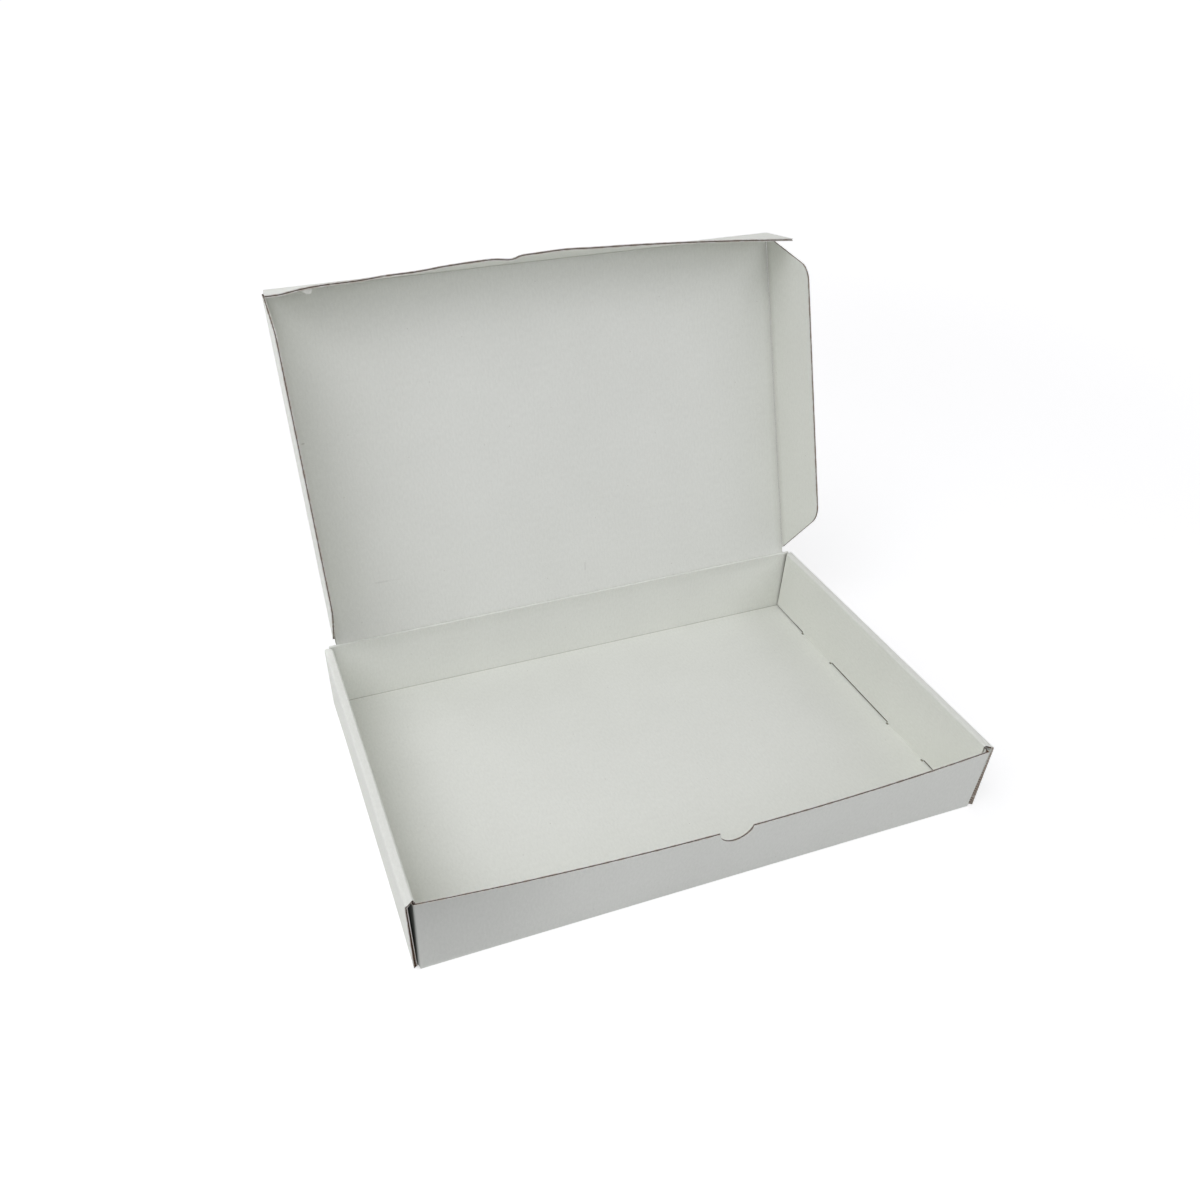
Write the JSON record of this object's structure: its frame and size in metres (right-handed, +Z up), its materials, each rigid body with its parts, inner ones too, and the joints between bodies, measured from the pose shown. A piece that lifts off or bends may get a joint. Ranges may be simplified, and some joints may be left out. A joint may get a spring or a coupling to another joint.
{
  "type": "corrugated card lunch box",
  "caption": "White corrugated card lunch box: shallow folded tray with rolled side walls and a thumb notch, and an attached lid with a tuck flap and side ears.",
  "frame": {"origin": "centre of the tray's underside, on the table", "axes": "+X to the right along the front wall, +Y from the front wall to the back wall, +Z up"},
  "size_m": [0.3366, 0.3035, 0.2515],
  "materials": {
    "white_board": "matt white paper liner on corrugated card, with raw brown cut edges"
  },
  "bodies": {
    "tray": {"tray": "white_board"},
    "lid": {"lid": "white_board"},
    "tuck_flap": {"tuck_flap": "white_board"},
    "left_ear": {"left_ear": "white_board"},
    "right_ear": {"right_ear": "white_board"}
  },
  "joints": [
    {"name": "lid_hinge", "type": "hinge", "parent": "tray", "child": "lid", "pos_m": [0, 0.108, 0.0473], "axis": [-1, 0, 0], "range_deg": [-113.5, 66.5]},
    {"name": "tuck_fold", "type": "hinge", "parent": "lid", "child": "tuck_flap", "pos_m": [0, 0.19094, 0.23805], "axis": [1, 0, 0], "range_deg": [-96, 6]},
    {"name": "left_ear_fold", "type": "hinge", "parent": "lid", "child": "left_ear", "pos_m": [-0.1612, 0.108, 0.0473], "axis": [0, 0.3987, 0.9171], "range_deg": [-88.8, 6]},
    {"name": "right_ear_fold", "type": "hinge", "parent": "lid", "child": "right_ear", "pos_m": [0.1612, 0.108, 0.0473], "axis": [0, -0.3987, -0.9171], "range_deg": [-89, 6]}
  ]
}
